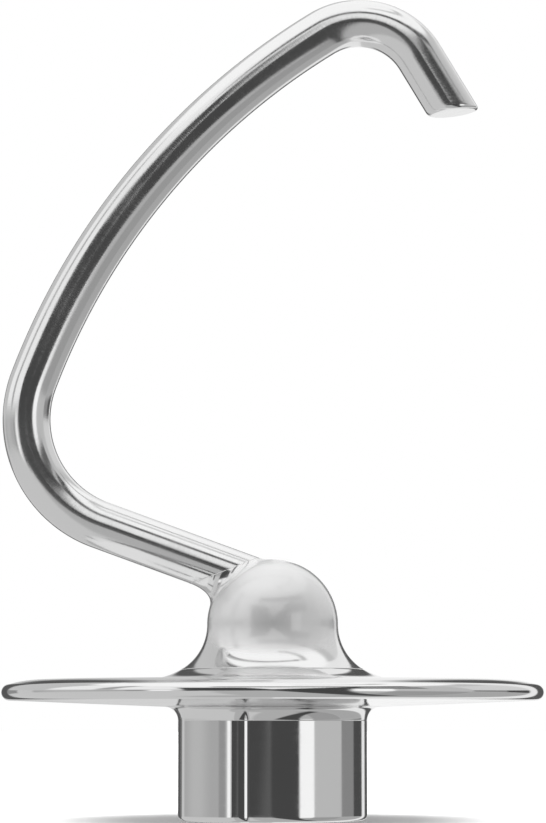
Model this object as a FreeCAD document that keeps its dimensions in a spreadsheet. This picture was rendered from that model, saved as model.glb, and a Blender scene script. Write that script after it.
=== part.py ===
"""C-shaped dough hook for a stand mixer: a bent round bar on a domed hub with a guard disc.

The drive collar slides over the mixer's shaft from below, and a cross pin in the shaft locks
in the bayonet channel inside it.  Units are millimetres and degrees.  The origin is the
centre of the collar's open end, +Z runs up the shaft's axis towards the hook, the bar lies
in the XZ plane, and its belly points to -X.
"""
import FreeCAD
import Part
import os
from math import cos, hypot, radians, sin

import Sketcher
from FreeCAD import Placement, Rotation, Vector

doc = FreeCAD.newDocument("DoughHook")

# ---------------------------------------------------------------- driving dimensions
DIMENSIONS = (
    # alias, value, what it is
    ("shaft_bore_radius", 8.2, "bore that slides over the mixer's shaft"),
    ("bush_wall", 3.2, "wall of the slotted bush"),
    ("press_gap", 0.02, "radial gap where the bush is pressed in"),
    ("pin_reach", 5.7, "how far the pin's channel reaches out from the bore"),
    ("channel_width", 6.2, "width of the drive pin's channel"),
    ("channel_cover", 1.65, "collar wall left outside the channel"),
    ("channel_roof", 1.5, "collar left above the channel"),
    ("channel_angle", 227.5, "direction of the lobe and of the channel behind it"),
    ("channel_turn", 38.0, "how far the pin turns to lock"),
    ("collar_height", 18.5, "collar, from its open end to the disc's underside"),
    ("collar_end_round", 0.9, "rounding of the collar's open end"),
    ("lobe_height", 1.05, "how far the lobe stands out of the collar"),
    ("lobe_crest_angle", 34.0, "angle that the lobe's crest takes up"),
    ("lobe_base_angle", 56.0, "angle that the lobe's foot takes up"),
    ("lobe_round", 0.8, "rounding of the lobe's corners"),
    ("collar_fillet", 2.3, "polished weld under the disc"),
    ("disc_diameter", 89.0, "guard disc"),
    ("disc_thickness", 4.35, "disc where it meets the collar"),
    ("disc_flat_margin", 3.0, "flat ring of the underside round the collar"),
    ("rim_thickness", 2.66, "thickness of the full-round rim"),
    ("edge_width", 5.0, "width of the soft rounding inside the rim"),
    ("edge_drop", 0.72, "how far that rounding falls below the top face"),
    ("flare_radius", 13.0, "foot of the neck, where it runs out into the disc"),
    ("flare_turn", 30.0, "angle of the foot's slope at the neck's seam"),
    ("neck_hollow_radius", 8.46, "concave curve from the seam to the waist"),
    ("neck_wall", 2.2, "wall of the neck at its waist, outside the relief"),
    ("neck_web", 3.0, "metal between the relief and the bar's socket"),
    ("relief_gap", 0.4, "how much wider than the bore the relief is"),
    ("bar_diameter", 7.94, "round bar of the hook"),
    ("root_cover", 0.79, "metal over the bar's end, under the top of the crown"),
    ("root_rise", 20.14, "rise of the bar's straight root"),
    ("root_length", 30.42, "straight root"),
    ("belly_radius", 18.79, "first bend, at the belly"),
    ("belly_turn", 90.22, "angle of the first bend"),
    ("back_radius", 116.8, "long gentle curve up the back"),
    ("back_turn", 37.84, "angle of the gentle curve"),
    ("crook_radius", 11.92, "tight bend at the top"),
    ("crook_turn", 91.06, "angle of the tight bend"),
    ("tip_length", 11.05, "straight end of the bar, to the middle of its end face"),
    ("tip_tilt", 7.4, "slope of the end face"),
    ("tip_round", 0.8, "rounding of the end face's edge"),
    ("arm_fillet", 4.2, "polished weld where the bar meets the neck"),
)

dim = doc.addObject("Spreadsheet::Sheet", "dim")
for row, (alias, number, meaning) in enumerate(DIMENSIONS, start=1):
    dim.set(f"A{row}", meaning)
    dim.set(f"B{row}", str(number))
    dim.setAlias(f"B{row}", alias)
doc.recompute()


def value(expression):
    """The number that an expression on the sheet comes to."""
    result = dim.evalExpression(expression)
    return float(getattr(result, "Value", result))


def bind(obj, **expressions):
    """Tie properties of an object to expressions on the sheet."""
    for name, expression in expressions.items():
        obj.setExpression(name, expression)
    return obj


# Derived sizes that several pieces share, as expressions.
BUSH_RADIUS = "(dim.shaft_bore_radius + dim.bush_wall)"
SOCKET_RADIUS = f"({BUSH_RADIUS} + dim.press_gap)"
CHANNEL_RADIUS = "(dim.shaft_bore_radius + dim.pin_reach)"
CHANNEL_DEPTH = "(dim.collar_height - dim.channel_roof)"
COLLAR_RADIUS = f"({CHANNEL_RADIUS} + dim.channel_cover)"
DISC_TOP = "(dim.collar_height + dim.disc_thickness)"
DISC_RADIUS = "(dim.disc_diameter / 2)"
RIM_ROUND = "(dim.rim_thickness / 2)"
RIM_HEIGHT = f"({DISC_TOP} - dim.edge_drop - {RIM_ROUND})"
RELIEF_RADIUS = "(dim.shaft_bore_radius + dim.relief_gap)"
NECK_RADIUS = f"({RELIEF_RADIUS} + dim.neck_wall)"
FLARE_TURN = "(dim.flare_turn * 1 deg)"
SEAM_HEIGHT = f"({DISC_TOP} + dim.flare_radius * (1 - cos({FLARE_TURN})))"
SEAM_RADIUS = f"({NECK_RADIUS} + dim.neck_hollow_radius * (1 - sin({FLARE_TURN})))"
FOOT_RADIUS = f"({SEAM_RADIUS} + dim.flare_radius * sin({FLARE_TURN}))"
WAIST_HEIGHT = f"({SEAM_HEIGHT} + dim.neck_hollow_radius * cos({FLARE_TURN}))"
CROWN_TOP = f"({WAIST_HEIGHT} + {NECK_RADIUS})"
BAR_RADIUS = "(dim.bar_diameter / 2)"
ROOT_HEIGHT = f"({CROWN_TOP} - {BAR_RADIUS} - dim.root_cover)"


# ---------------------------------------------------------------- helpers
ORIGIN = (-1, 1)
V_AXIS = -2
ON_AXIS = "0"
TINY = 1e-4


def new_body(name, label):
    body = doc.addObject("PartDesign::Body", name)
    body.Label = label
    return body


def new_sketch(body, name, plane):
    """A sketch on one of the body's own origin planes."""
    sketch = body.newObject("Sketcher::SketchObject", name)
    support = next(f for f in body.Origin.OriginFeatures if f.Role == plane)
    sketch.AttachmentSupport = [(support, "")]
    sketch.MapMode = "FlatFace"
    return sketch


def outline(sketch, corners, arcs):
    """Draw a closed outline whose corners and arcs are bound to the sheet.

    corners is a list of (x, y) expressions.  arcs maps the number of a side, which starts at
    the corner of that number, to (radius expression, centre x expression, centre y
    expression, counter-clockwise or not); every other side is straight.
    """
    points = [Vector(value(x), value(y), 0) for x, y in corners]
    count = len(points)
    ends = {}
    for side in range(count):
        first, last = points[side], points[(side + 1) % count]
        if side in arcs:
            radius, centre_x, centre_y, forwards = arcs[side]
            centre = Vector(value(centre_x), value(centre_y), 0)
            circle = Part.Circle(centre, Vector(0, 0, 1), value(radius))
            start, stop = (first, last) if forwards else (last, first)
            geometry = Part.ArcOfCircle(circle, circle.parameter(start), circle.parameter(stop))
            ends[side] = (1, 2) if forwards else (2, 1)
        else:
            geometry = Part.LineSegment(first, last)
            ends[side] = (1, 2)
        sketch.addGeometry(geometry, False)
    for side in range(count):
        following = (side + 1) % count
        joined = (side, ends[side][1], following, ends[following][0])
        sketch.addConstraint(Sketcher.Constraint("Coincident", *joined))
    for side, (x, y) in enumerate(corners):
        for kind, expression in (("DistanceX", x), ("DistanceY", y)):
            corner = (side, ends[side][0])
            if expression == ON_AXIS:
                sketch.addConstraint(Sketcher.Constraint("PointOnObject", *corner, V_AXIS))
                continue
            rule = Sketcher.Constraint(kind, *ORIGIN, *corner, value(expression))
            index = sketch.addConstraint(rule)
            sketch.setExpression(f"Constraints[{index}]", expression)
    for side, (radius, _x, _y, _forwards) in arcs.items():
        index = sketch.addConstraint(Sketcher.Constraint("Radius", side, value(radius)))
        sketch.setExpression(f"Constraints[{index}]", radius)


def revolve(body, name, sketch):
    feature = body.newObject("PartDesign::Revolution", name)
    feature.Profile = sketch
    feature.ReferenceAxis = (sketch, ["V_Axis"])
    feature.Angle = 360
    return feature


def cylinder(name, radius, height, base="0"):
    shape = doc.addObject("Part::Cylinder", name)
    bind(shape, Radius=radius, Height=height)
    shape.setExpression("Placement.Base.z", base)
    return shape


def cut(name, base, tool):
    result = doc.addObject("Part::Cut", name)
    result.Base, result.Tool = base, tool
    return result


def fuse(name, *shapes):
    result = doc.addObject("Part::MultiFuse", name)
    result.Shapes = list(shapes)
    return result


def named(obj, label):
    obj.Label = label
    return obj


# ---------------------------------------------------------------- the drive pin's channel
def channel_leg(name, direction):
    """A straight channel from the axis outwards, as high as the whole channel."""
    box = doc.addObject("Part::Box", f"{name}Box")
    bind(box, Length=CHANNEL_RADIUS, Width="dim.channel_width", Height=CHANNEL_DEPTH)
    half_width = "dim.channel_width / 2"
    box.setExpression("Placement.Base.x", f"{half_width} * sin({direction})")
    box.setExpression("Placement.Base.y", f"-{half_width} * cos({direction})")
    box.Placement.Rotation = Rotation(Vector(0, 0, 1), 1)
    box.setExpression("Placement.Rotation.Angle", direction)
    return box


def pin_channel():
    """The bayonet channel: up from the open end, then round to where the pin locks."""
    entry_direction = "dim.channel_angle * 1 deg"
    lock_direction = "(dim.channel_angle + dim.channel_turn) * 1 deg"
    floor = f"{CHANNEL_DEPTH} - dim.channel_width"
    entry = channel_leg("Entry", entry_direction)
    lock = channel_leg("Lock", lock_direction)
    lock.setExpression("Placement.Base.z", floor)
    bind(lock, Height="dim.channel_width")
    sweep = cylinder("TurnSector", CHANNEL_RADIUS, "dim.channel_width", floor)
    bind(sweep, Angle="dim.channel_turn * 1 deg")
    sweep.Placement.Rotation = Rotation(Vector(0, 0, 1), 1)
    sweep.setExpression("Placement.Rotation.Angle", entry_direction)
    reach = cylinder("ChannelReach", CHANNEL_RADIUS, CHANNEL_DEPTH)
    channel = doc.addObject("Part::Common", "PinChannel")
    channel.Base, channel.Tool = fuse("ChannelLegs", entry, lock, sweep), reach
    return channel


# ---------------------------------------------------------------- drive collar
def polar(radius, angle):
    return f"{radius} * cos({angle})", f"{radius} * sin({angle})"


def collar_blank():
    """The collar as a solid post with its lobe, before it is bored."""
    body = new_body("CollarBlank", "collar_blank")
    round_sketch = new_sketch(body, "CollarRound", "XY_Plane")
    round_sketch.addGeometry(Part.Circle(Vector(), Vector(0, 0, 1), value(COLLAR_RADIUS)))
    round_sketch.addConstraint(Sketcher.Constraint("Coincident", 0, 3, -1, 1))
    radius = round_sketch.addConstraint(
        Sketcher.Constraint("Radius", 0, value(COLLAR_RADIUS)))
    round_sketch.setExpression(f"Constraints[{radius}]", COLLAR_RADIUS)
    post = body.newObject("PartDesign::Pad", "CollarPost")
    post.Profile = round_sketch
    bind(post, Length="dim.collar_height")

    crest = f"({COLLAR_RADIUS} + dim.lobe_height)"
    foot = f"({COLLAR_RADIUS} - dim.lobe_height)"
    half_crest, half_foot = "dim.lobe_crest_angle / 2", "dim.lobe_base_angle / 2"
    angles = [f"((dim.channel_angle {sign} {half}) * 1 deg)"
              for sign, half in (("-", half_foot), ("-", half_crest), ("+", half_crest),
                                 ("+", half_foot))]
    corners = [polar(radius, angle)
               for radius, angle in zip((foot, crest, crest, foot), angles)]
    lobe_sketch = new_sketch(body, "LobeOutline", "XY_Plane")
    outline(lobe_sketch, corners, {1: (crest, "0", "0", True)})
    lobe = body.newObject("PartDesign::Pad", "Lobe")
    lobe.Profile = lobe_sketch
    bind(lobe, Length="dim.collar_height")
    doc.recompute()

    upright = [f"Edge{i}" for i, edge in enumerate(lobe.Shape.Edges, start=1)
               if is_upright(edge) and on_lobe(edge)]
    soft = body.newObject("PartDesign::Fillet", "LobeRounding")
    soft.Base = (lobe, upright)
    bind(soft, Radius="dim.lobe_round")
    doc.recompute()

    open_end = [f"Edge{i}" for i, edge in enumerate(soft.Shape.Edges, start=1)
                if abs(edge.BoundBox.ZMax) < TINY]
    rounded = body.newObject("PartDesign::Fillet", "OpenEndRounding")
    rounded.Base = (soft, open_end)
    bind(rounded, Radius="dim.collar_end_round")
    return body


def is_upright(edge):
    box = edge.BoundBox
    return box.ZLength > TINY and box.XLength < TINY and box.YLength < TINY


def on_lobe(edge):
    """Whether an upright edge is a corner of the lobe, and not the post's own seam."""
    foot = edge.Vertexes[0].Point
    away = Rotation(Vector(0, 0, 1), -value("dim.channel_angle")).multVec(Vector(*foot))
    half_span = radians(value("dim.lobe_base_angle"))
    return away.x > 0 and abs(away.y) < away.x * half_span


channel = pin_channel()
blank = collar_blank()
socket = cylinder("CollarSocket", SOCKET_RADIUS, "dim.collar_height")
drive_collar = named(cut("DriveCollar", blank, fuse("CollarHollow", socket, channel)),
                     "drive_collar")

# ---------------------------------------------------------------- slotted bush
bush_blank = cylinder("BushBlank", BUSH_RADIUS, SEAM_HEIGHT)
shaft_bore = cylinder("ShaftBore", "dim.shaft_bore_radius", SEAM_HEIGHT)
bayonet_bush = named(cut("BayonetBush", bush_blank, fuse("BushHollow", shaft_bore, channel)),
                     "bayonet_bush")

# ---------------------------------------------------------------- guard disc
guard_disc = new_body("GuardDisc", "guard_disc")
EDGE_ROUND = "((dim.edge_width ^ 2 + dim.edge_drop ^ 2) / (2 * dim.edge_drop))"
RIM_CENTRE = f"({DISC_RADIUS} - {RIM_ROUND})"
EDGE_START = f"({RIM_CENTRE} - dim.edge_width)"
disc_sketch = new_sketch(guard_disc, "DiscProfile", "XZ_Plane")
outline(
    disc_sketch,
    [
        (SOCKET_RADIUS, "dim.collar_height"),
        (f"{COLLAR_RADIUS} + dim.disc_flat_margin", "dim.collar_height"),
        (RIM_CENTRE, f"{RIM_HEIGHT} - {RIM_ROUND}"),
        (DISC_RADIUS, RIM_HEIGHT),
        (RIM_CENTRE, f"{RIM_HEIGHT} + {RIM_ROUND}"),
        (EDGE_START, DISC_TOP),
        (FOOT_RADIUS, DISC_TOP),
        (SEAM_RADIUS, SEAM_HEIGHT),
        (SOCKET_RADIUS, SEAM_HEIGHT),
    ],
    {
        2: (RIM_ROUND, RIM_CENTRE, RIM_HEIGHT, True),
        3: (RIM_ROUND, RIM_CENTRE, RIM_HEIGHT, True),
        4: (EDGE_ROUND, EDGE_START, f"{DISC_TOP} - {EDGE_ROUND}", True),
        6: ("dim.flare_radius", FOOT_RADIUS, f"{DISC_TOP} + dim.flare_radius", False),
    },
)
revolve(guard_disc, "DiscTurned", disc_sketch)

# ---------------------------------------------------------------- bar of the hook
def arm_path():
    """Corner points and arcs of the bar's centreline, from the sheet.

    Returns a list of (kind, points, centre, radius) in the XZ plane, and the point and
    heading at the middle of the end face.
    """
    here = Vector(0, value(ROOT_HEIGHT), 0)
    heading = radians(180 - value("dim.root_rise"))
    runs = []

    def straight(length):
        nonlocal here
        there = here + Vector(cos(heading), sin(heading), 0) * length
        runs.append(("line", (here, there), None, None))
        here = there

    def bend(radius, turn):
        nonlocal here, heading
        centre = here + Vector(sin(heading), -cos(heading), 0) * radius
        heading -= radians(turn)
        there = centre + Vector(-sin(heading), cos(heading), 0) * radius
        runs.append(("arc", (here, there), centre, radius))
        here = there

    straight(value("dim.root_length"))
    bend(value("dim.belly_radius"), value("dim.belly_turn"))
    bend(value("dim.back_radius"), value("dim.back_turn"))
    bend(value("dim.crook_radius"), value("dim.crook_turn"))
    straight(value("dim.tip_length"))
    return runs, here, heading


def hook_bar():
    """The bent bar: a round section swept along straight runs joined by tangent arcs."""
    body = new_body("HookBar", "hook_bar")
    spine = new_sketch(body, "BarCentreline", "XZ_Plane")
    runs, _tip, heading = arm_path()
    overrun = Vector(cos(heading), sin(heading), 0) * value(BAR_RADIUS)
    for number, (kind, (first, last), centre, radius) in enumerate(runs):
        if kind == "line":
            far = last + overrun if number == len(runs) - 1 else last
            spine.addGeometry(Part.LineSegment(first, far), False)
        else:
            circle = Part.Circle(centre, Vector(0, 0, 1), radius)
            arc = Part.ArcOfCircle(circle, circle.parameter(last), circle.parameter(first))
            spine.addGeometry(arc, False)

    def rule(expression, kind, *place):
        index = spine.addConstraint(Sketcher.Constraint(kind, *place, value(expression)))
        spine.setExpression(f"Constraints[{index}]", expression)

    for before, (end, after, start) in enumerate(((2, 1, 2), (1, 2, 2), (1, 3, 2), (1, 4, 1))):
        spine.addConstraint(Sketcher.Constraint("Tangent", before, end, after, start))
    spine.addConstraint(Sketcher.Constraint("PointOnObject", 0, 1, -2))
    rule(ROOT_HEIGHT, "DistanceY", -1, 1, 0, 1)
    rule("dim.root_length * cos(dim.root_rise * 1 deg)", "DistanceX", 0, 2, 0, 1)
    rule("dim.root_length * sin(dim.root_rise * 1 deg)", "DistanceY", 0, 1, 0, 2)
    for number, bend in ((1, "belly"), (2, "back"), (3, "crook")):
        rule(f"dim.{bend}_radius", "Radius", number)
        length = f"2 * dim.{bend}_radius * sin(dim.{bend}_turn * 0.5 deg)"
        rule(length, "Distance", number, 1, number, 2)
    rule(f"dim.tip_length + {BAR_RADIUS}", "Distance", 4, 1, 4, 2)
    doc.recompute()

    section = body.newObject("Sketcher::SketchObject", "BarSection")
    section.AttachmentSupport = [(spine, "Vertex1"), (spine, "Edge1")]
    section.MapMode = "NormalToEdge"
    doc.recompute()
    section.addGeometry(Part.Circle(Vector(), Vector(0, 0, 1), value(BAR_RADIUS)), False)
    section.addConstraint(Sketcher.Constraint("Coincident", 0, 3, -1, 1))
    index = section.addConstraint(Sketcher.Constraint("Radius", 0, value(BAR_RADIUS)))
    section.setExpression(f"Constraints[{index}]", BAR_RADIUS)
    pipe = body.newObject("PartDesign::AdditivePipe", "BarSwept")
    pipe.Profile = section
    pipe.Spine = spine
    doc.recompute()
    return body


def tip_trimmer():
    """A block whose upper face is the plane of the bar's end face."""
    _runs, tip, _heading = arm_path()
    block = doc.addObject("Part::Box", "TipTrimmer")
    side = f"4 * {BAR_RADIUS}"
    bind(block, Length=side, Width=side, Height=side)
    reach = value(side)
    tilt = Placement(Vector(tip.x, 0, tip.y), Rotation(Vector(0, 1, 0), -value("dim.tip_tilt")))
    block.Placement = tilt * Placement(Vector(-reach / 2, -reach / 2, -reach), Rotation())
    return block


bar = hook_bar()
trimmed = cut("BarTrimmed", bar, tip_trimmer())
doc.recompute()
tip_height = arm_path()[1].y
tip_edges = [i for i, edge in enumerate(trimmed.Shape.Edges, start=1)
             if abs(edge.CenterOfMass.z - tip_height) < value(BAR_RADIUS)
             and edge.BoundBox.YLength > value(BAR_RADIUS)
             and edge.BoundBox.ZLength < value(BAR_RADIUS)]
hook_arm = doc.addObject("Part::Fillet", "HookArm")
hook_arm.Base = trimmed
hook_arm.Edges = [(i, value("dim.tip_round"), value("dim.tip_round")) for i in tip_edges]
hook_arm.Label = "hook_arm"

# ---------------------------------------------------------------- neck and its dome
neck_blank = new_body("NeckBlank", "neck_blank")
neck_sketch = new_sketch(neck_blank, "NeckProfile", "XZ_Plane")
RELIEF_TOP = f"{ROOT_HEIGHT} - {BAR_RADIUS} - dim.neck_web"
outline(
    neck_sketch,
    [
        (RELIEF_RADIUS, SEAM_HEIGHT),
        (SEAM_RADIUS, SEAM_HEIGHT),
        (NECK_RADIUS, WAIST_HEIGHT),
        (ON_AXIS, CROWN_TOP),
        (ON_AXIS, RELIEF_TOP),
        (RELIEF_RADIUS, RELIEF_TOP),
    ],
    {
        1: ("dim.neck_hollow_radius", f"{NECK_RADIUS} + dim.neck_hollow_radius",
            WAIST_HEIGHT, False),
        2: (NECK_RADIUS, "0", WAIST_HEIGHT, True),
    },
)
revolve(neck_blank, "NeckTurned", neck_sketch)
neck_dome = named(cut("NeckDome", neck_blank, hook_arm), "neck_dome")

# ---------------------------------------------------------------- welds, ground and polished
def is_on_crown(edge, crown, reach):
    """Whether an edge of the fused bar and neck is the seam where the bar leaves the crown."""
    points = edge.discretize(9)
    on_sphere = all(abs((point - crown).Length - reach) < 0.01 for point in points)
    on_bar_side = max(point.x for point in points) < 0.2 * reach
    return on_sphere and on_bar_side and any(abs(point.y) > 0.1 for point in points)


def arm_weld_ring():
    """The fillet round the bar where it enters the neck, as a ring of its own."""
    joined = fuse("BarOnNeck", neck_blank, bar)
    doc.recompute()
    crown = Vector(0, 0, value(WAIST_HEIGHT))
    reach = value(NECK_RADIUS)
    seam = [i for i, edge in enumerate(joined.Shape.Edges, start=1)
            if not edge.Degenerated and is_on_crown(edge, crown, reach)]
    smooth = doc.addObject("Part::Fillet", "BarOnNeckSmooth")
    smooth.Base = joined
    smooth.Edges = [(i, value("dim.arm_fillet"), value("dim.arm_fillet")) for i in seam]
    return named(cut("ArmWeld", smooth, joined), "arm_weld")


def collar_weld_ring():
    """The fillet in the corner between the collar and the disc, clear of the lobe."""
    foot = f"({COLLAR_RADIUS} + dim.collar_fillet)"
    ring = cylinder("CollarWeldBlank", foot, "dim.collar_fillet",
                    "dim.collar_height - dim.collar_fillet")
    groove = doc.addObject("Part::Torus", "CollarWeldGroove")
    bind(groove, Radius1=foot, Radius2="dim.collar_fillet")
    groove.setExpression("Placement.Base.z", "dim.collar_height - dim.collar_fillet")
    return named(cut("CollarWeld", cut("CollarWeldRing", ring, groove), blank), "collar_weld")


arm_weld = arm_weld_ring()
collar_weld = collar_weld_ring()

# ---------------------------------------------------------------- check and export
PIECES = (hook_arm, arm_weld, neck_dome, guard_disc, collar_weld, drive_collar, bayonet_bush)
doc.recompute()
for obj in doc.Objects:
    faults = [state for state in obj.State if state in ("Invalid", "Error")]
    if faults:
        raise RuntimeError(f"{obj.Name} did not recompute: {faults}")
os.makedirs("parts", exist_ok=True)
for piece in PIECES:
    shape = piece.Shape
    if shape.isNull() or not shape.isValid() or len(shape.Solids) < 1:
        raise RuntimeError(f"{piece.Label} is not a valid solid")
    shape.exportStep(f"parts/{piece.Label}.step")
    box = shape.BoundBox
    print(f"{piece.Label}: {len(shape.Solids)} solid, {shape.Volume:.1f} mm3, "
          f"{box.XLength:.2f} x {box.YLength:.2f} x {box.ZLength:.2f} mm")
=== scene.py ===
# %% [markdown]
# # A polished dough hook
#
# The object is a rigid stainless steel tool: a bent round bar, welded to a domed neck, on a
# guard disc with a drive collar under it.  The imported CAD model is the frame: it gives every
# place and size.  Polished steel shows each flat facet of a mesh as a kink in a reflection,
# so the outside surfaces are worked out again here as fine, exact grids in the same places.

import bmesh
import bpy
import numpy as np
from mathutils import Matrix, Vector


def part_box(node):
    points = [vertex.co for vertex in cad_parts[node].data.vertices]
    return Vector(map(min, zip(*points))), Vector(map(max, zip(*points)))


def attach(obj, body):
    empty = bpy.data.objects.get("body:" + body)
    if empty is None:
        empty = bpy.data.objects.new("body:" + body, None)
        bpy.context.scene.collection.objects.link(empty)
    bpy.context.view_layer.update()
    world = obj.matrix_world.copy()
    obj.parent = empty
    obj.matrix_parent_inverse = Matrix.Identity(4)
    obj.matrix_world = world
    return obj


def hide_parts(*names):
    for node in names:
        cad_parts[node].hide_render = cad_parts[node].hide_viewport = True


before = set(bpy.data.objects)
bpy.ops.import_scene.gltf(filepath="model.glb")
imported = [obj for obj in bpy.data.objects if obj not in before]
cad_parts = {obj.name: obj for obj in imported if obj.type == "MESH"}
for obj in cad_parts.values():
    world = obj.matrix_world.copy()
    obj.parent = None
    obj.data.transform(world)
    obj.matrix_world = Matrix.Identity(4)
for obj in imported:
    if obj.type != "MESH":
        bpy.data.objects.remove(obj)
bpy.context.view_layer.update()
print("frame nodes:", sorted(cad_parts))

# %% [markdown]
# ## Sizes
#
# What the frame can tell is read from its boxes.  The bends and roundings of the design can't
# be read from a box, so they are repeated here as named values in metres and degrees.

# %% Sizes from the frame
MM = 0.001
disc_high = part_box("guard_disc")[1]
collar_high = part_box("drive_collar")[1]
neck_low, neck_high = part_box("neck_dome")
bush_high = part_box("bayonet_bush")[1]
arm_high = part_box("hook_arm")[1]
weld_low, weld_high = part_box("collar_weld")

disc_radius = disc_high.x
collar_height = collar_high.z
collar_radius = collar_high.x
seam_height = neck_low.z
seam_radius = neck_high.x
crown_top = neck_high.z
bush_radius = bush_high.x
bar_radius = arm_high.y
weld_size = weld_high.z - weld_low.z
collar_radius_plain = weld_high.x - weld_size
print(f"disc {2 * disc_radius / MM:.1f} mm across, bar {2 * bar_radius / MM:.2f} mm thick")

# %% [markdown]
# The values below are the tool's own dimensions.  The hollow of the neck, the sweep of the disc
# and the bends of the bar are arcs, so a radius and a turn say all there is to say about each.

# %% Sizes of the design that no box shows
FLARE_RADIUS = 13.0 * MM
FLARE_TURN = np.radians(30.0)
NECK_HOLLOW_RADIUS = 8.46 * MM
RIM_THICKNESS = 2.66 * MM
EDGE_WIDTH = 5.0 * MM
EDGE_DROP = 0.72 * MM
DISC_FLAT_MARGIN = 3.0 * MM
RELIEF_RADIUS = 8.6 * MM
NECK_WEB = 3.0 * MM
ROOT_COVER = 0.79 * MM
ROOT_RISE = np.radians(20.14)
ROOT_LENGTH = 30.42 * MM
BENDS = ((18.79 * MM, np.radians(90.22)), (116.8 * MM, np.radians(37.84)),
         (11.92 * MM, np.radians(91.06)))
TIP_LENGTH = 11.05 * MM
TIP_TILT = np.radians(7.4)
TIP_ROUND = 0.8 * MM
UNDER_BLEND = 4.6 * MM
CROWN_BLEND = 2.4 * MM
SIDE_BLEND = 1.1 * MM
PRESS_GAP = 0.02 * MM
PIN_REACH = 5.7 * MM
BUSH_WALL = 3.2 * MM
CHANNEL_WIDTH = 6.2 * MM
CHANNEL_ROOF = 1.5 * MM
CHANNEL_ANGLE = np.radians(227.5)
CHANNEL_TURN = np.radians(38.0)
LOBE_HEIGHT = 1.05 * MM
LOBE_CREST = np.radians(34.0)
LOBE_BASE = np.radians(56.0)
COLLAR_END_ROUND = 0.9 * MM

# Mesh fineness: points round a piece, the distance under which two points are one, and how far
# a weld's edge stands off the surface that it runs out on.
TURNED_COLUMNS = 256
DISC_COLUMNS = 360
GIRTH_COLUMNS = 96
PLAN_COLUMNS = 480
MERGE_DISTANCE = 2e-6
WELD_LIFT = 0.004 * MM

disc_top = seam_height - FLARE_RADIUS * (1 - np.cos(FLARE_TURN))
neck_radius = seam_radius - NECK_HOLLOW_RADIUS * (1 - np.sin(FLARE_TURN))
waist_height = seam_height + NECK_HOLLOW_RADIUS * np.cos(FLARE_TURN)
foot_radius = seam_radius + FLARE_RADIUS * np.sin(FLARE_TURN)
root_height = crown_top - bar_radius - ROOT_COVER
print(f"neck waist {neck_radius / MM:.2f} mm at height {waist_height / MM:.2f} mm")

# %% [markdown]
# ## Grids
#
# Every surface here is a rectangle of points: rows run one way over the piece and columns the
# other way.  One helper turns such a rectangle into a mesh and closes it where it should meet
# itself.  `foreach_set` hands whole arrays to Blender, so nothing loops over vertices.


# %% Turn a grid of points into a mesh object
def grid_piece(name, points, closed_rows=False, closed_columns=True, uv=None):
    """A mesh from points[row, column, xyz].

    Neighbouring points make a four-sided face; closed rows or columns join the last to the
    first.  Rings that have shrunk to a point are merged, so poles are closed.
    """
    rows, columns = points.shape[:2]
    row_step = rows if closed_rows else rows - 1
    column_step = columns if closed_columns else columns - 1
    r, c = np.meshgrid(np.arange(row_step), np.arange(column_step), indexing="ij")
    next_r, next_c = (r + 1) % rows, (c + 1) % columns
    faces = np.stack([r * columns + c, r * columns + next_c,
                      next_r * columns + next_c, next_r * columns + c], axis=-1).reshape(-1, 4)
    mesh = bpy.data.meshes.new(name)
    mesh.vertices.add(rows * columns)
    mesh.vertices.foreach_set("co", points.reshape(-1).astype(np.float32))
    mesh.loops.add(faces.size)
    mesh.loops.foreach_set("vertex_index", faces.reshape(-1).astype(np.int32))
    mesh.polygons.add(len(faces))
    mesh.polygons.foreach_set("loop_start", np.arange(0, faces.size, 4, dtype=np.int32))
    mesh.update(calc_edges=True)
    if uv is not None:
        layer = mesh.uv_layers.new(name="surface")
        corner_rows = np.stack([r, r, r + 1, r + 1], axis=-1).reshape(-1, 4)
        corner_columns = np.stack([c, c + 1, c + 1, c], axis=-1).reshape(-1, 4)
        along, across = uv
        values = np.stack([along[corner_rows], across[corner_columns]], axis=-1)
        layer.data.foreach_set("uv", values.reshape(-1).astype(np.float32))
    tidy(mesh)
    piece = bpy.data.objects.new(name, mesh)
    bpy.context.scene.collection.objects.link(piece)
    print(f"{name}: {len(mesh.polygons)} faces")
    return piece


def tidy(mesh):
    """Merge points that lie on each other, drop faces with no area, shade it smooth."""
    work = bmesh.new()
    work.from_mesh(mesh)
    bmesh.ops.remove_doubles(work, verts=work.verts, dist=MERGE_DISTANCE)
    bmesh.ops.dissolve_degenerate(work, edges=work.edges, dist=MERGE_DISTANCE / 2)
    bmesh.ops.recalc_face_normals(work, faces=work.faces)
    work.to_mesh(mesh)
    work.free()
    mesh.polygons.foreach_set("use_smooth", np.ones(len(mesh.polygons), dtype=bool))
    mesh.update()


# %% [markdown]
# ## Outlines
#
# An outline is built from arcs and straight runs.  Each helper gives an array of points, and
# neighbouring stretches share an end, so one copy of it is left out where they are joined.


# %% Outlines as arrays
def arc(centre, radius, start, stop, count):
    """Points on a circle from one angle to another, in degrees, both ends included."""
    angle = np.radians(np.linspace(start, stop, count))
    return np.array(centre) + radius * np.stack([np.cos(angle), np.sin(angle)], axis=-1)


def run(first, last, count):
    """Evenly spaced points on a straight line, both ends included."""
    share = np.linspace(0, 1, count)[:, None]
    return np.array(first) * (1 - share) + np.array(last) * share


def turned(name, outline, columns=TURNED_COLUMNS):
    """A solid of revolution about Z: each outline point (radius, height) sweeps a circle."""
    angle = np.linspace(0, 2 * np.pi, columns, endpoint=False)
    radius, height = outline[:, 0:1], outline[:, 1:2]
    points = np.stack([radius * np.cos(angle), radius * np.sin(angle),
                       height * np.ones_like(angle)], axis=-1)
    return grid_piece(name, points, closed_rows=True)


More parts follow.
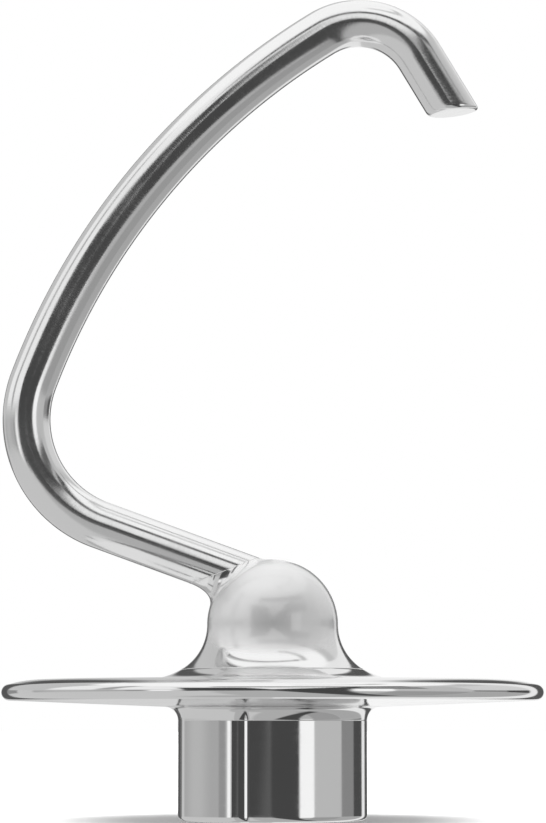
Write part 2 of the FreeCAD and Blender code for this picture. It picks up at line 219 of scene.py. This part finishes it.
# %% [markdown]
# ## The guard disc
#
# On the real tool this is a heavy turned plate that keeps dough off the shaft.  Its rim is a
# full round, its top falls away softly just inside the rim, and it sweeps up into the neck.
# It could be a cylinder with bevels, but the soft edge and the sweep are what the reflections
# show, so the outline is drawn from exact arcs and turned about the axis.

# %% Guard disc
rim_round = RIM_THICKNESS / 2
rim_height = disc_top - EDGE_DROP - rim_round
rim_centre = disc_radius - rim_round
edge_start = rim_centre - EDGE_WIDTH
edge_round = (EDGE_WIDTH ** 2 + EDGE_DROP ** 2) / (2 * EDGE_DROP)
edge_sweep = np.degrees(np.arcsin(EDGE_WIDTH / edge_round))
flat_end = collar_radius + DISC_FLAT_MARGIN
socket_radius = bush_radius + PRESS_GAP
disc_outline = np.concatenate([
    run((socket_radius, collar_height), (flat_end, collar_height), 12)[:-1],
    run((flat_end, collar_height), (rim_centre, rim_height - rim_round), 60)[:-1],
    arc((rim_centre, rim_height), rim_round, -90, 90 - edge_sweep, 40)[:-1],
    arc((edge_start, disc_top - edge_round), edge_round, 90 - edge_sweep, 90, 24)[:-1],
    run((edge_start, disc_top), (foot_radius, disc_top), 30)[:-1],
    arc((foot_radius, disc_top + FLARE_RADIUS), FLARE_RADIUS, -90,
        -90 - np.degrees(FLARE_TURN), 24),
    run((seam_radius, seam_height), (socket_radius, seam_height), 6)[1:],
    run((socket_radius, seam_height), (socket_radius, collar_height), 14)[1:-1],
])
disc = turned("disc", disc_outline, DISC_COLUMNS)

# %% [markdown]
# ## The neck
#
# The neck is a dome with a waist.  Its crown is part of a ball, its side is hollow, and it
# meets the disc's sweep with no step.  The relief inside clears the mixer's shaft.

# %% Neck
relief_top = root_height - bar_radius - NECK_WEB
hollow_centre = (neck_radius + NECK_HOLLOW_RADIUS, waist_height)
neck_outline = np.concatenate([
    run((RELIEF_RADIUS, seam_height), (seam_radius, seam_height), 10)[:-1],
    arc(hollow_centre, NECK_HOLLOW_RADIUS, -90 - np.degrees(FLARE_TURN), -180, 40)[:-1],
    arc((0, waist_height), neck_radius, 0, 90, 72),
    run((0, relief_top), (RELIEF_RADIUS, relief_top), 10)[:-1],
    run((RELIEF_RADIUS, relief_top), (RELIEF_RADIUS, seam_height), 8)[:-1],
])
neck = turned("neck", neck_outline)

# %% [markdown]
# ## The bar
#
# The hook is one round bar, bent three times.  A curve with a bevel would draw it, but its end
# could only be square.  Here rings are carried along the centreline, and the end face is cut
# at a slant with a small rounded edge, as a grinder leaves it.


# %% Centreline of the bar
END_LENGTH = 1.6 * bar_radius


def centreline():
    """Points (x, z) and headings along straight runs joined by tangent arcs.

    The last stretch, END_LENGTH long, is left to the slanted end, so its tip is given apart.
    """
    place, heading = np.array([0.0, root_height]), np.pi - ROOT_RISE
    places, headings = [], []

    def straight(length, count):
        nonlocal place
        along = np.linspace(0, length, count)[:, None]
        direction = np.array([np.cos(heading), np.sin(heading)])
        places.append(place + along * direction)
        headings.append(np.full(count, heading))
        place = places[-1][-1]

    def bend(radius, turn, count):
        nonlocal place, heading
        centre = place + radius * np.array([np.sin(heading), -np.cos(heading)])
        angles = heading - np.linspace(0, turn, count)
        places.append(centre + radius * np.stack([-np.sin(angles), np.cos(angles)], axis=-1))
        headings.append(angles)
        place, heading = places[-1][-1], angles[-1]

    straight(ROOT_LENGTH, 40)
    for (radius, turn), count in zip(BENDS, (90, 130, 70)):
        bend(radius, turn, count)
    straight(TIP_LENGTH - END_LENGTH, 20)
    tip = place + END_LENGTH * np.array([np.cos(heading), np.sin(heading)])
    points, angles = np.concatenate(places), np.concatenate(headings)
    fresh = np.r_[True, np.linalg.norm(np.diff(points, axis=0), axis=1) > MERGE_DISTANCE]
    return points[fresh], angles[fresh], tip, heading


def ring(points, headings, girth, radius):
    """Circles of a radius about centreline points, square to the heading.

    Angle 0 points to the outside of the bends, and a quarter turn on points to -Y.
    """
    outward = np.stack([-np.sin(headings), np.zeros_like(headings), np.cos(headings)], axis=-1)
    centre = np.stack([points[:, 0], np.zeros(len(points)), points[:, 1]], axis=-1)
    toward_front = np.array([0.0, -1.0, 0.0])
    return (centre[:, None] + radius * (np.cos(girth)[None, :, None] * outward[:, None]
                                        + np.sin(girth)[None, :, None] * toward_front))


girth = np.linspace(0, 2 * np.pi, GIRTH_COLUMNS, endpoint=False)
line_points, line_headings, tip, tip_heading = centreline()
body_rings = ring(line_points, line_headings, girth, bar_radius)
print(len(body_rings), "rings along the bar")

# %% [markdown]
# ### The end of the bar
#
# The end face is a plane, sloped by TIP_TILT.  Lines along the bar are carried on to that plane,
# stop TIP_ROUND short of it, turn in along one small curve each, and run to the face's middle.

# %% Bar with its slanted, rounded end
forward = np.array([np.cos(tip_heading), 0.0, np.sin(tip_heading)])
face_normal = np.array([np.sin(TIP_TILT), 0.0, -np.cos(TIP_TILT)])
tip_centre = np.array([tip[0], 0.0, tip[1]])
last_ring = body_rings[-1]
reach = ((tip_centre - last_ring) @ face_normal) / (forward @ face_normal)
edge_ring = last_ring + reach[:, None] * forward
inward = tip_centre - edge_ring
inward /= np.linalg.norm(inward, axis=1)[:, None]
shoulder = edge_ring - TIP_ROUND * forward
lip = edge_ring + TIP_ROUND * inward
share = np.linspace(0, 1, 12)[1:, None, None]
barrel_end = last_ring[None] * (1 - share) + shoulder[None] * share
rounding = ((1 - share) ** 2 * shoulder + 2 * share * (1 - share) * edge_ring
            + share ** 2 * lip)
share = np.linspace(0, 1, 10)[1:, None, None]
end_face = lip[None] * (1 - share) + tip_centre * share
root_centre = np.array([line_points[0][0], 0.0, line_points[0][1]])
share = np.linspace(0, 1, 8)[:-1, None, None]
root_face = root_centre * (1 - share) + body_rings[0][None] * share
bar_rows = np.concatenate([root_face, body_rings, barrel_end, rounding, end_face])
middles = bar_rows.mean(axis=1)
bar_along = np.r_[0, np.cumsum(np.linalg.norm(np.diff(middles, axis=0), axis=1))]
bar_across = np.linspace(0, 2 * np.pi * bar_radius, GIRTH_COLUMNS + 1)
bar = grid_piece("bar", bar_rows, uv=(bar_along, bar_across))
print(f"bar centreline {bar_along[-1] / MM:.1f} mm long")

# %% [markdown]
# ## The weld round the bar
#
# Where the bar enters the neck, the real joint is a weld that has been ground and polished
# into a hollow curve, wide underneath and tight at the front.  For each direction round the
# bar, a line on the bar meets the ball of the crown at one point.  The weld leaves the bar a
# little before that point and lands on the crown a little after it, along one smooth curve.

# %% Weld round the bar
BEND_PULL = 0.62
ROOT_DEPTH = bar_radius / 8
crown_centre = np.array([0.0, 0.0, waist_height])
root_direction = np.array([np.cos(line_headings[0]), 0.0, np.sin(line_headings[0])])
spokes = (body_rings[0] - root_centre) / bar_radius
start = root_centre + bar_radius * spokes - crown_centre
along = start @ root_direction
meet = -along + np.sqrt(along ** 2 - (start ** 2).sum(axis=1) + neck_radius ** 2)
corner = root_centre + bar_radius * spokes + meet[:, None] * root_direction
crown_normal = (corner - crown_centre) / neck_radius
underside = 0.5 - 0.5 * np.sign(spokes[0][2]) * np.cos(girth)
bar_width = SIDE_BLEND + (UNDER_BLEND - SIDE_BLEND) * underside ** 2
crown_width = SIDE_BLEND + (CROWN_BLEND - SIDE_BLEND) * underside ** 2
away = spokes - (spokes * crown_normal).sum(axis=1)[:, None] * crown_normal
away /= np.linalg.norm(away, axis=1)[:, None]
swing = (crown_width / neck_radius)[:, None]
landing_normal = np.cos(swing) * crown_normal + np.sin(swing) * away
landing = crown_centre + (neck_radius + WELD_LIFT) * landing_normal
leaving = corner + bar_width[:, None] * root_direction + WELD_LIFT * spokes
landing_slope = np.cos(swing) * away - np.sin(swing) * crown_normal
bar_pull, crown_pull = (BEND_PULL * bar_width)[:, None], (BEND_PULL * crown_width)[:, None]
k = np.linspace(0, 1, 24)[:, None, None]
weld_face = ((1 - k) ** 3 * leaving + 3 * k * (1 - k) ** 2 * (leaving - bar_pull * root_direction)
             + 3 * k ** 2 * (1 - k) * (landing - crown_pull * landing_slope) + k ** 3 * landing)
k = np.linspace(0, 1, 8)[1:-1, None, None]
inside = corner - ROOT_DEPTH * (spokes + crown_normal)
weld_back = ((1 - k) ** 2 * landing + 2 * k * (1 - k) * inside + k ** 2 * leaving)
weld = grid_piece("bar_weld", np.concatenate([weld_face, weld_back]), closed_rows=True)

# %% [markdown]
# ## The drive collar
#
# The collar is a sleeve with a lobe down one side, which makes room for the drive pin's
# channel.  In plan the outside is a circle plus a flat-topped bump with soft shoulders.  The
# inside is a round socket with the channel cut into it, so the inner radius steps out there.


# %% Outside of the collar in plan
def collar_outside(angle):
    """Radius of the collar's outside in a direction.

    The lobe has a flat top.  Its shoulders fall as 1 - t^2.4, so they start gently at the
    crest and are steepest at the foot.
    """
    off = np.abs((angle - CHANNEL_ANGLE + np.pi) % (2 * np.pi) - np.pi)
    down = np.clip((off - LOBE_CREST / 2) / (LOBE_BASE / 2 - LOBE_CREST / 2), 0, 1)
    return collar_radius_plain + LOBE_HEIGHT * (1 - down ** 2.4)


print(f"collar {2 * collar_radius_plain / MM:.1f} mm across, lobe {LOBE_HEIGHT / MM:.2f} mm proud")

# %% [markdown]
# ### Inside and wall
#
# The channel goes straight up from the open end and then turns to where the pin locks.  A jump
# in the inner radius needs two columns or rows almost in one place, one on each side of it.

# %% Collar
STEP_GAP = 1e-7
channel_reach = bush_radius - BUSH_WALL + PIN_REACH
channel_top = collar_height - CHANNEL_ROOF
half_channel = np.arcsin(CHANNEL_WIDTH / 2 / (0.5 * (channel_reach + socket_radius)))


def collar_inside(angle, height):
    """Radius of the socket: its own wall, or the channel's outer wall where that is cut."""
    turn = (angle - CHANNEL_ANGLE + np.pi) % (2 * np.pi) - np.pi
    entry = (np.abs(turn) < half_channel) & (height < channel_top)
    locked = ((turn > 0) & (turn < CHANNEL_TURN + half_channel)
              & (height < channel_top) & (height > channel_top - CHANNEL_WIDTH))
    return np.where(entry | locked, channel_reach, socket_radius)


def doubled(values, steps):
    """The values, with a close pair at each step, so that a jump there has an upright wall."""
    steps = np.array(steps)
    return np.unique(np.concatenate([values, steps - STEP_GAP, steps + STEP_GAP]))


wall_steps = [CHANNEL_ANGLE - half_channel, CHANNEL_ANGLE + half_channel,
              CHANNEL_ANGLE + CHANNEL_TURN + half_channel]
plan = doubled(np.linspace(0, 2 * np.pi, PLAN_COLUMNS, endpoint=False), wall_steps)
outside = collar_outside(plan)
end_round = np.radians(np.linspace(-90, 0, 14))
upper = np.linspace(COLLAR_END_ROUND, collar_height, 40)[1:]
inset = np.r_[COLLAR_END_ROUND * (1 - np.cos(end_round)), np.zeros(len(upper))]
height = np.r_[COLLAR_END_ROUND * (1 + np.sin(end_round)), upper]
outer_radius = outside[None] - inset[:, None]
inner_height = doubled(np.linspace(0, collar_height, 30), [channel_top,
                                                           channel_top - CHANNEL_WIDTH])
inner_height = np.clip(inner_height, 0, collar_height)[::-1]
inner_radius = collar_inside(plan[None], inner_height[:, None])
radii = np.concatenate([outer_radius, inner_radius])
heights = np.concatenate([height, inner_height])[:, None] * np.ones_like(plan)
collar_points = np.stack([radii * np.cos(plan), radii * np.sin(plan), heights], axis=-1)
collar = grid_piece("collar", collar_points, closed_rows=True)

# %% [markdown]
# ## The weld under the disc
#
# A ring of weld fills the corner between collar and disc.  It follows the collar's plan, lobe
# included, and its face is a hollow quarter circle.

# %% Weld under the disc
quarter = np.radians(np.linspace(0, 90, 20))[:, None]
foot = outside[None] + WELD_LIFT
face_radius = foot + weld_size - weld_size * np.cos(quarter)
face_height = collar_height - weld_size + weld_size * np.sin(quarter) - WELD_LIFT
back_radius = foot - 2 * WELD_LIFT + 0 * quarter[:2]
back_height = np.array([[collar_height - WELD_LIFT], [collar_height - weld_size]])
ring_radius = np.concatenate([face_radius, back_radius])
ring_height = np.concatenate([face_height, back_height]) * np.ones_like(plan)
ring_points = np.stack([ring_radius * np.cos(plan), ring_radius * np.sin(plan), ring_height],
                       axis=-1)
collar_weld = grid_piece("collar_weld_ring", ring_points, closed_rows=True)

# %% [markdown]
# ## Polished steel
#
# Stainless steel is a metal with a pale, nearly neutral colour.  What makes it look real is
# not its colour but how clean its reflections are: a mirror polish, with a faint haze and
# very fine marks that run the way the polishing wheel went.  An image of scratches could do
# this, but noise with a different scale along each axis needs no file and never repeats.
#
# The neck's front has a second, blurrier and paler reflection over the mirror: a painted sheen
# that lightens the front.  It is strongest within SATIN_SHEEN_REACH of a point just inside the
# front, and gone at SATIN_SHEEN_END.


# %% Steel materials
PALE = (0.80, 0.80, 0.80)
DULL = (0.62, 0.62, 0.61)
# Paler colour of the second reflection on the neck's front: it paints a sheen there.
PAINTED_SHEEN_PALE = (0.93, 0.93, 0.93)
# Where the painted sheen sits on the neck's front, and how far it reaches.
SATIN_SHEEN_HEIGHT = 32.0 * MM
SATIN_SHEEN_FRONT = 3.0 * MM
SATIN_SHEEN_REACH = 9.4 * MM
SATIN_SHEEN_END = 11.4 * MM
PATCH_SCALE = 120.0
MARK_HEIGHT = 0.00002


def steel(name, colour, polish, spread, marks, depth, satin=0.0, satin_sheen_share=0.0, use_uv=False):
    """Metal with a fine haze.

    The roughness wanders about the polish by the spread.  Marks are how many times the noise
    repeats in a metre along each axis, so unequal numbers give lines.  A satin sheen share lays a
    second, blurrier and paler reflection over the first round the middle of the neck, a painted
    sheen that lightens its front, and fades out with distance.
    """
    material = bpy.data.materials.new(name)
    material.use_nodes = True
    nodes, links = material.node_tree.nodes, material.node_tree.links
    shader = nodes["Principled BSDF"]
    place = nodes.new("ShaderNodeTexCoord")
    stretch = nodes.new("ShaderNodeMapping")
    stretch.inputs["Scale"].default_value = marks
    links.new(place.outputs["UV" if use_uv else "Object"], stretch.inputs["Vector"])
    haze = nodes.new("ShaderNodeTexNoise")
    haze.inputs["Scale"].default_value = 1.0
    haze.inputs["Detail"].default_value = 4.0
    links.new(stretch.outputs["Vector"], haze.inputs["Vector"])
    patches = nodes.new("ShaderNodeTexNoise")
    patches.inputs["Scale"].default_value = PATCH_SCALE
    links.new(place.outputs["Object"], patches.inputs["Vector"])
    both = nodes.new("ShaderNodeMath")
    both.operation = "ADD"
    links.new(haze.outputs["Fac"], both.inputs[0])
    links.new(patches.outputs["Fac"], both.inputs[1])
    bump = nodes.new("ShaderNodeBump")
    bump.inputs["Strength"].default_value = depth
    bump.inputs["Distance"].default_value = MARK_HEIGHT
    links.new(haze.outputs["Fac"], bump.inputs["Height"])

    def lobe(target, shade, roughness):
        target.inputs["Base Color"].default_value = (*shade, 1.0)
        target.inputs["Metallic"].default_value = 1.0
        wander = nodes.new("ShaderNodeMapRange")
        wander.inputs["From Min"].default_value = 0.7
        wander.inputs["From Max"].default_value = 1.3
        wander.inputs["To Min"].default_value = roughness - spread
        wander.inputs["To Max"].default_value = roughness + spread
        links.new(both.outputs[0], wander.inputs["Value"])
        links.new(wander.outputs["Result"], target.inputs["Roughness"])
        links.new(bump.outputs["Normal"], target.inputs["Normal"])

    lobe(shader, colour, polish)
    # The painted sheen: a second, blurrier and paler reflection that lightens the neck's front.
    if satin_sheen_share:
        rough_sheen = nodes.new("ShaderNodeBsdfPrincipled")
        lobe(rough_sheen, PAINTED_SHEEN_PALE, satin)
        reach = nodes.new("ShaderNodeVectorMath")
        reach.operation = "DISTANCE"
        links.new(place.outputs["Object"], reach.inputs[0])
        reach.inputs[1].default_value = (0.0, -SATIN_SHEEN_FRONT, SATIN_SHEEN_HEIGHT)
        sheen_fade = nodes.new("ShaderNodeMapRange")
        sheen_fade.interpolation_type = "SMOOTHSTEP"
        sheen_fade.inputs["From Min"].default_value = SATIN_SHEEN_REACH
        sheen_fade.inputs["From Max"].default_value = SATIN_SHEEN_END
        sheen_fade.inputs["To Min"].default_value = satin_sheen_share
        sheen_fade.inputs["To Max"].default_value = 0.0
        links.new(reach.outputs["Value"], sheen_fade.inputs["Value"])
        mix = nodes.new("ShaderNodeMixShader")
        links.new(sheen_fade.outputs["Result"], mix.inputs["Fac"])
        links.new(shader.outputs[0], mix.inputs[1])
        links.new(rough_sheen.outputs[0], mix.inputs[2])
        links.new(mix.outputs[0], nodes["Material Output"].inputs["Surface"])
    return material


print("steel ready to be mixed")

# %% [markdown]
# ### Four finishes
#
# Wheel-polished on the turned parts, burnished on the bar with marks that run round it,
# polished on the neck with a paler painted sheen on its front, and left as machined in the bore.

# %% Four finishes
mirror_steel = steel("polished_steel", PALE, 0.08, 0.03, (300, 300, 1500), 0.03)
bar_steel = steel("burnished_steel", PALE, 0.14, 0.07, (6000, 900, 1), 0.25, use_uv=True)
# The neck carries the painted sheen on its front; the weld round the bar shares it.
neck_steel_with_sheen = steel("polished_neck_painted_sheen", PALE, 0.12, 0.04, (300, 300, 2500), 0.05,
                   satin=0.58, satin_sheen_share=0.88)
bore_steel = steel("machined_steel", DULL, 0.28, 0.06, (200, 200, 9000), 0.4)
for material in (mirror_steel, bar_steel, neck_steel_with_sheen, bore_steel):
    print(material.name, "has", len(material.node_tree.nodes), "nodes")

# %% [markdown]
# ## Dressing the pieces
#
# Each new piece rides on the one rigid body, stands for one CAD node, and says which material
# slot it has.  The bush is inside and its CAD mesh is good enough, so it only gets a material.

# %% Dress and place the pieces
dressed = (
    (bar, bar_steel, "burnished_steel", "hook_arm"),
    (weld, neck_steel_with_sheen, "polished_steel", "arm_weld"),
    (neck, neck_steel_with_sheen, "polished_steel", "neck_dome"),
    (disc, mirror_steel, "polished_steel", "guard_disc"),
    (collar_weld, mirror_steel, "polished_steel", "collar_weld"),
    (collar, mirror_steel, "polished_steel", "drive_collar"),
)
for piece, material, slot, node in dressed:
    piece.data.materials.append(material)
    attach(piece, "root")
    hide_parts(node)
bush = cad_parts["bayonet_bush"]
bush.data.materials.clear()
bush.data.materials.append(bore_steel)
print(len(dressed), "pieces stand for CAD nodes, and the bush keeps its own mesh")

# %% [markdown]
# ## Studio
#
# Polished metal is lit by what stands round it.  A white room would make it vanish, so the
# surroundings are a pale tent with soft dark and bright panels.  Panels could be real objects
# round the tool, but a direction is all that a far panel has, so they are painted on the world:
# azimuth 0 is the front, azimuth 90 the right-hand side, and elevation 0 the horizon.
#
# The few helpers below build that painting.  A mask is 0 or 1 with a soft edge, and a panel is
# laid over what is there already where its mask is 1, so later panels cover earlier ones.

# %% Helpers for the surroundings
world = bpy.data.worlds.new("studio")
bpy.context.scene.world = world
world.use_nodes = True
tree = world.node_tree
tree.nodes.clear()


def calc(operation, *values):
    """A math node on numbers or sockets; gives its output socket."""
    node = tree.nodes.new("ShaderNodeMath")
    node.operation = operation
    for slot_number, item in enumerate(values):
        if isinstance(item, bpy.types.NodeSocket):
            tree.links.new(item, node.inputs[slot_number])
        else:
            node.inputs[slot_number].default_value = item
    return node.outputs[0]


def over(value, edge, softness):
    """0 below the edge and 1 above it, changing over a soft width."""
    node = tree.nodes.new("ShaderNodeMapRange")
    node.interpolation_type = "SMOOTHSTEP"
    tree.links.new(value, node.inputs["Value"])
    node.inputs["From Min"].default_value = edge - softness / 2
    node.inputs["From Max"].default_value = edge + softness / 2
    return node.outputs["Result"]


def under(value, edge, softness):
    """1 below the edge and 0 above it."""
    return calc("SUBTRACT", 1.0, over(value, edge, softness))


def all_of(*masks):
    """1 only where every mask is 1."""
    result = masks[0]
    for mask in masks[1:]:
        result = calc("MULTIPLY", result, mask)
    return result


def laid(level, brightness, mask):
    """Put a panel over what is there, where its mask is 1."""
    return calc("ADD", level, calc("MULTIPLY", calc("SUBTRACT", brightness, level), mask))


direction = tree.nodes.new("ShaderNodeTexCoord")
parts = tree.nodes.new("ShaderNodeSeparateXYZ")
tree.links.new(direction.outputs["Generated"], parts.inputs[0])
right, back, up = parts.outputs
azimuth = calc("DEGREES", calc("ARCTAN2", right, calc("MULTIPLY", back, -1.0)))
elevation = calc("DEGREES", calc("ARCSINE", up))
in_front = under(back, 0.0, 0.05)
behind = calc("DEGREES", calc("ARCCOSINE", calc("MULTIPLY", back, -1.0)))


def panel(level, brightness, azimuths, elevations, softness):
    """A panel between two azimuths and two elevations, all in degrees."""
    masks = []
    for value, (low, high), limit in ((azimuth, azimuths, 180), (elevation, elevations, 90)):
        if low > -limit:
            masks.append(over(value, low, softness))
        if high < limit:
            masks.append(under(value, high, softness))
    return laid(level, brightness, all_of(*masks))


print("helpers ready, with", len(tree.nodes), "nodes so far")

# %% [markdown]
# ### Panels
#
# The first rows are the big shapes: a grey lower half, a lighter left, a bright window high on
# the left, and paler and darker walls to the right.  Then come the ceiling and the dark strips
# that draw lines along the bar.  The last rows sit close to the horizon, where upright walls
# such as the collar's reflect them.

# %% Panels
BASE_BRIGHTNESS = 0.62
PANELS = (
    # brightness, azimuths, elevations, softness
    (0.50, (-180, 180), (-90, -6), 8),
    (0.66, (-180, -25), (-70, 8), 8),
    (1.00, (-110, -20), (10, 62), 6),
    (0.43, (-80, -70), (10, 62), 5),
    (1.12, (33, 52), (-12, 17), 3),
    (0.58, (52, 92), (-70, 38), 3),
    (0.75, (92, 139), (-70, 38), 4),
    (0.38, (50, 92), (-70, -8), 4),
    (0.46, (92, 139), (-70, -8), 4),
    (0.28, (92, 115), (-7, 6), 3),
    (0.08, (115, 139), (-7, 6), 4),
    (0.95, (139, 180), (-70, 90), 4),
    (0.98, (-20, 33), (10, 40), 5),
    (1.12, (-180, 180), (48, 90), 5),
    (0.55, (15, 120), (65, 69), 3),
    (0.08, (-30, 70), (38, 47), 3),
    (0.14, (25, 70), (20, 33), 4),
    (0.12, (-27, 31), (-6, 1), 2),
    (0.46, (-120, -64), (-7, 6), 4),
    (0.58, (-110, -82), (-7, 6), 22),
    (0.34, (-64, -54), (-7, 6), 4),
    (1.10, (-52, -42), (-7, 6), 2),
    (0.30, (-150, -136), (-7, 6), 3),
)
level = calc("ADD", BASE_BRIGHTNESS, 0.0)
for brightness, azimuths, elevations, softness in PANELS:
    level = panel(level, brightness, azimuths, elevations, softness)
print(len(PANELS), "panels laid")

# %% [markdown]
# ### A dark fan in front
#
# Behind the camera a studio is dark, and a round bar shows that as one dark band along its
# middle.  The dark shape is a fan with two wings, so that the band narrows and widens as the
# bar turns.  Each wing is what lies between two rays from the fan's middle.

# %% Dark fan in front
FAN_RIGHT = -0.02
FAN_UP = 0.09
FAN_WAIST = 0.06
FAN_LEVEL = 0.07
fan_right = calc("SUBTRACT", right, FAN_RIGHT)
fan_up = calc("SUBTRACT", up, FAN_UP)


def left_of(heading):
    """How far a direction lies to the left of a ray from the fan's middle, by its heading."""
    turn = np.radians(heading)
    return calc("SUBTRACT", calc("MULTIPLY", fan_up, float(np.cos(turn))),
                calc("MULTIPLY", fan_right, float(np.sin(turn))))


left_wing = all_of(over(left_of(118), -FAN_WAIST, 0.05), under(left_of(196), FAN_WAIST, 0.08),
                   over(right, -0.60, 0.04), under(up, 0.52, 0.06))
right_wing = all_of(over(left_of(-64), -FAN_WAIST, 0.08), under(left_of(42), FAN_WAIST, 0.05),
                    under(right, 0.53, 0.05))
level = laid(level, FAN_LEVEL, all_of(calc("MAXIMUM", left_wing, right_wing), in_front))
print("fan laid")

# %% [markdown]
# ### A dark ring behind
#
# White on white has no outline.  At its very edge a round shape reflects what is almost straight
# behind it, so a dark ring there draws a thin line down its sides.  The ring is left open in
# the middle, wider below the horizon than above it, which keeps the bar's flat end bright.

# %% Dark ring behind
RING_LEVEL = 0.10
RING_START = 150
RING_END = 170
sideways = calc("ABSOLUTE", right)
aside = calc("MAXIMUM", over(sideways, 0.16, 0.05), all_of(over(sideways, 0.09, 0.04),
                                                           over(up, 0.03, 0.05)))
level = laid(level, RING_LEVEL, all_of(over(behind, RING_START, 4),
                                       under(behind, RING_END, 6), aside))
print("ring laid, with", len(tree.nodes), "nodes in all")

# %% [markdown]
# ### Backdrop
#
# The painted panels are for reflections only.  Seen directly the world is plain white, and as
# light on matt surfaces it is even and a little brighter than white.

# %% Backdrop
BACKDROP_LEVEL = 1.0
MATT_LEVEL = 1.25
ray = tree.nodes.new("ShaderNodeLightPath")
seen = laid(level, BACKDROP_LEVEL, ray.outputs["Is Camera Ray"])
seen = laid(seen, MATT_LEVEL, ray.outputs["Is Diffuse Ray"])
glow = tree.nodes.new("ShaderNodeBackground")
tree.links.new(seen, glow.inputs["Color"])
output = tree.nodes.new("ShaderNodeOutputWorld")
tree.links.new(glow.outputs[0], output.inputs["Surface"])
print("world ready, with", len(tree.nodes), "nodes")

# %% [markdown]
# ## Floor and lamp
#
# A plain matt floor carries the soft shadow.  Neither the floor nor the lamp overhead shows in
# reflections, because the panels already say what the steel sees.

# %% Floor and lamp
FLOOR_SIZE = 6.0
FLOOR_COLOUR = (0.9, 0.9, 0.9, 1)
LAMP_POWER = 300
LAMP_SIZE = 5.0
LAMP_HEIGHT = 2.5
side = np.array([-FLOOR_SIZE / 2, FLOOR_SIZE / 2])
floor_x, floor_y = np.meshgrid(side, side, indexing="ij")
floor_points = np.stack([floor_x, floor_y, np.zeros_like(floor_x)], axis=-1)
floor = grid_piece("floor", floor_points, closed_columns=False)
floor_paint = bpy.data.materials.new("floor_paint")
floor_paint.use_nodes = True
floor_shader = floor_paint.node_tree.nodes["Principled BSDF"]
floor_shader.inputs["Base Color"].default_value = FLOOR_COLOUR
floor_shader.inputs["Roughness"].default_value = 1.0
floor_shader.inputs["Specular IOR Level"].default_value = 0.0
floor.data.materials.append(floor_paint)
floor.visible_glossy = False

fill = bpy.data.lights.new("fill", "AREA")
fill.energy = LAMP_POWER
fill.size = LAMP_SIZE
fill_lamp = bpy.data.objects.new("fill", fill)
fill_lamp.location = (0, 0, LAMP_HEIGHT)
fill_lamp.visible_glossy = False
bpy.context.scene.collection.objects.link(fill_lamp)
print("lamp", LAMP_HEIGHT, "m up, floor", FLOOR_SIZE, "m wide")

# %% [markdown]
# ## Camera
#
# The camera stands low, half a metre away, a little under the disc, and looks slightly up.  That
# is why the disc's underside just shows and the bar's end face is seen from below.

# %% Camera
CAMERA_DISTANCE = 0.494
CAMERA_HEIGHT = 0.0167
CAMERA_ASIDE = 0.00007
CAMERA_PITCH = np.radians(5.85)
FOCAL_LENGTH = 130.66
SENSOR_WIDTH = 36.0
NEAR_CLIP = 0.01
lens = bpy.data.cameras.new("camera")
lens.lens = FOCAL_LENGTH
lens.sensor_width = SENSOR_WIDTH
lens.clip_start = NEAR_CLIP
camera = bpy.data.objects.new("camera", lens)
camera.location = (CAMERA_ASIDE, -CAMERA_DISTANCE, CAMERA_HEIGHT)
camera.rotation_euler = (np.pi / 2 + CAMERA_PITCH, 0, 0)
bpy.context.scene.collection.objects.link(camera)
bpy.context.scene.camera = camera
bpy.context.scene.view_settings.view_transform = "Standard"
print(f"camera {CAMERA_DISTANCE} m away, {CAMERA_HEIGHT / MM:.1f} mm up")
